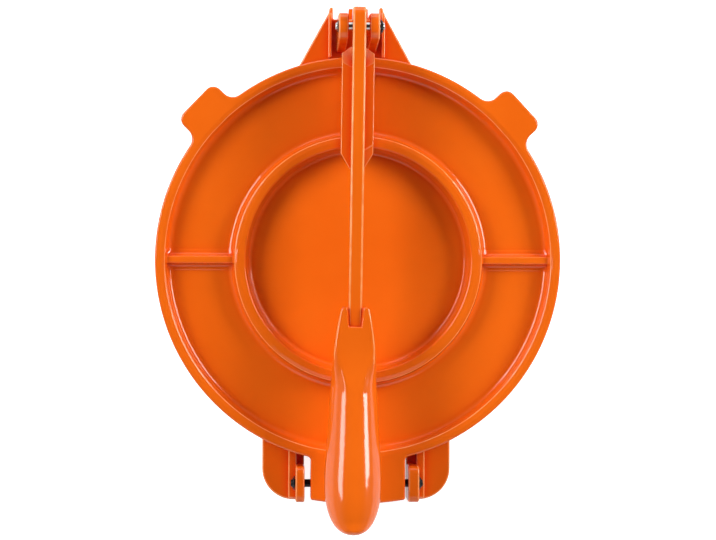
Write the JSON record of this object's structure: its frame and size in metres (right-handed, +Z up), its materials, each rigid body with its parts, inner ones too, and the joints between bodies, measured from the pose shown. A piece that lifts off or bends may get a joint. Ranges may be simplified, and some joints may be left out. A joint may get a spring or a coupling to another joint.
{
  "type": "tortilla press",
  "caption": "Cast metal tortilla press in glossy orange: round base, hinged upper plate with ring and spokes, and a long pressing lever.",
  "frame": {"origin": "on the table, under the middle of the round plates, on the flat end of the base's hub", "axes": "+Y from the plate hinge to the lever's pivot, along the lever; +X to the right of it; +Z up"},
  "size_m": [0.2028, 0.2602, 0.069],
  "materials": {
    "orange_enamel": "glossy",
    "pin_steel": "polished",
    "black_steel": "satin"
  },
  "bodies": {
    "base": {"base_plate": "orange_enamel", "lever_pin": "pin_steel", "lever_pin_clip_left": "black_steel", "lever_pin_clip_right": "black_steel", "hinge_pin": "black_steel", "hinge_pin_clip_left": "black_steel", "hinge_pin_clip_right": "black_steel"},
    "plate": {"upper_plate": "orange_enamel"},
    "arm": {"lever": "orange_enamel"}
  },
  "joints": [
    {"name": "lever_pivot", "type": "hinge", "parent": "base", "child": "arm", "pos_m": [0, 0.1145, 0.045], "axis": [-1, 0, 0], "range_deg": [0, 184]},
    {"name": "plate_hinge", "type": "hinge", "parent": "base", "child": "plate", "pos_m": [0, -0.1123, 0.0173], "axis": [1, 0, 0], "range_deg": [0, 105]}
  ],
  "couplings": [
    {"joint": "plate_hinge", "follows": "lever_pivot", "ratio": 0.12}
  ]
}
